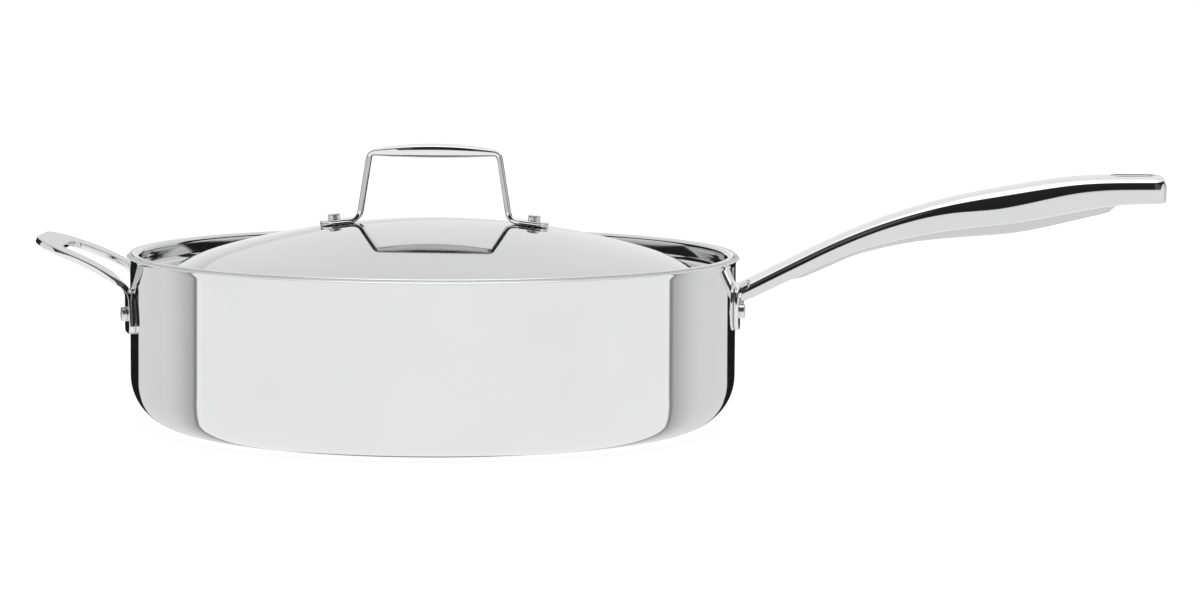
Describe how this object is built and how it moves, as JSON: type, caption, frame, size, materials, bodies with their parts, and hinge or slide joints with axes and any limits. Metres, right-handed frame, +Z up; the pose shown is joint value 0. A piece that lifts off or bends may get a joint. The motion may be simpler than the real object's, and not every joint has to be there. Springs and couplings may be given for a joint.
{
  "type": "saute pan with lid",
  "caption": "Wide straight-walled saute pan in three-layer clad steel with a hollow long handle, a riveted helper handle and a recessed domed lid with a strap bail.",
  "frame": {"origin": "on the pan's axis, in the plane of the flat face it stands on", "axes": "+Z up along the pan's axis, +X towards the tip of the long handle"},
  "size_m": [0.5659, 0.3076, 0.1408],
  "materials": {
    "mirror_steel": "mirror-polished stainless steel",
    "inner_steel": "satin stainless steel of the cooking surface",
    "core_aluminium": "aluminium core, seen only as a thin line at the rim",
    "rivet_steel": "satin stainless steel"
  },
  "bodies": {
    "pan": {"pan_outer_skin": "mirror_steel", "pan_core": "core_aluminium", "pan_inner_skin": "inner_steel", "handle_bracket": "mirror_steel", "handle_upper_shell": "mirror_steel", "handle_lower_shell": "mirror_steel", "hang_slot_liner": "mirror_steel", "handle_rivet_near": "rivet_steel", "handle_rivet_far": "rivet_steel", "helper_handle": "mirror_steel", "helper_rivet_near": "rivet_steel", "helper_rivet_far": "rivet_steel"},
    "lid": {"lid_shell": "mirror_steel", "lid_bail": "mirror_steel", "lid_rivet_left": "rivet_steel", "lid_rivet_right": "rivet_steel"}
  },
  "joints": [
    {"name": "lid_lift", "type": "slide", "parent": "pan", "child": "lid", "axis": [0, 0, 1], "range_m": [0, 0.14]}
  ]
}
